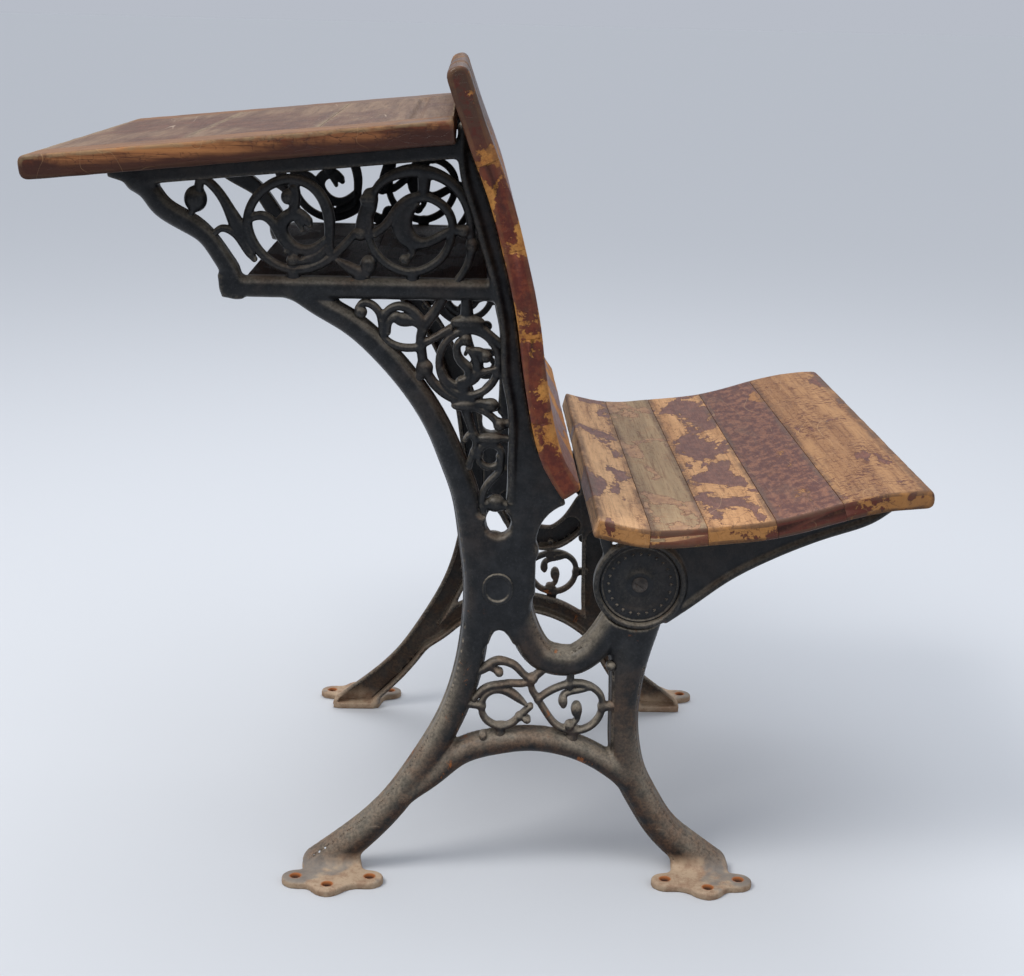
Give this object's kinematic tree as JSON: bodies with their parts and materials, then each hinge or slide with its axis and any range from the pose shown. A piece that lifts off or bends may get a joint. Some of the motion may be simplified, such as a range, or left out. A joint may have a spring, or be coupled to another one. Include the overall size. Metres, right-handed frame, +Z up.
{
  "type": "folding school desk",
  "caption": "School desk with cast-iron scrollwork standards, a sloped top with a book shelf, a curved back and a fold-up slatted seat.",
  "frame": {"origin": "on the floor, under the middle of the whole desk", "axes": "+X to the front of the seat, +Y to the sitter's left, +Z up"},
  "size_m": [0.7925, 0.54, 0.7585],
  "materials": {
    "cast_iron": "old worn black paint, dusty",
    "desk_wood": "weathered, grey-brown",
    "shelf_wood": "weathered, dull",
    "back_wood": "red-brown varnish, flaking",
    "seat_wood": "varnish worn to golden wood",
    "steel": "tarnished"
  },
  "bodies": {
    "frame": {"right_standard": "cast_iron", "desk_cleat_right": "desk_wood", "hinge_bolt_right": "steel", "hinge_washer_right": "steel", "hinge_nut_right": "steel", "left_standard": "cast_iron", "desk_cleat_left": "desk_wood", "hinge_bolt_left": "steel", "hinge_washer_left": "steel", "hinge_nut_left": "steel", "desk_board_front": "desk_wood", "desk_board_middle": "desk_wood", "desk_board_rear": "desk_wood", "book_shelf_board_front": "shelf_wood", "book_shelf_board_rear": "shelf_wood", "back_board_1": "back_wood", "back_board_2": "back_wood", "back_board_3": "back_wood", "back_board_4": "back_wood", "back_board_5": "back_wood", "desk_top_screws": "steel", "book_shelf_screws": "steel", "back_screws": "steel"},
    "seat": {"seat_arm_right": "cast_iron", "hinge_cap_right": "cast_iron", "seat_arm_left": "cast_iron", "hinge_cap_left": "cast_iron", "seat_slat_1": "seat_wood", "seat_slat_2": "seat_wood", "seat_slat_3": "seat_wood", "seat_slat_4": "seat_wood", "seat_slat_5": "seat_wood", "seat_screws": "steel"}
  },
  "joints": [
    {"name": "seat_fold", "type": "hinge", "parent": "frame", "child": "seat", "pos_m": [0.14306, 0, 0.29419], "axis": [0, -1, 0], "range_deg": [0, 70]}
  ]
}
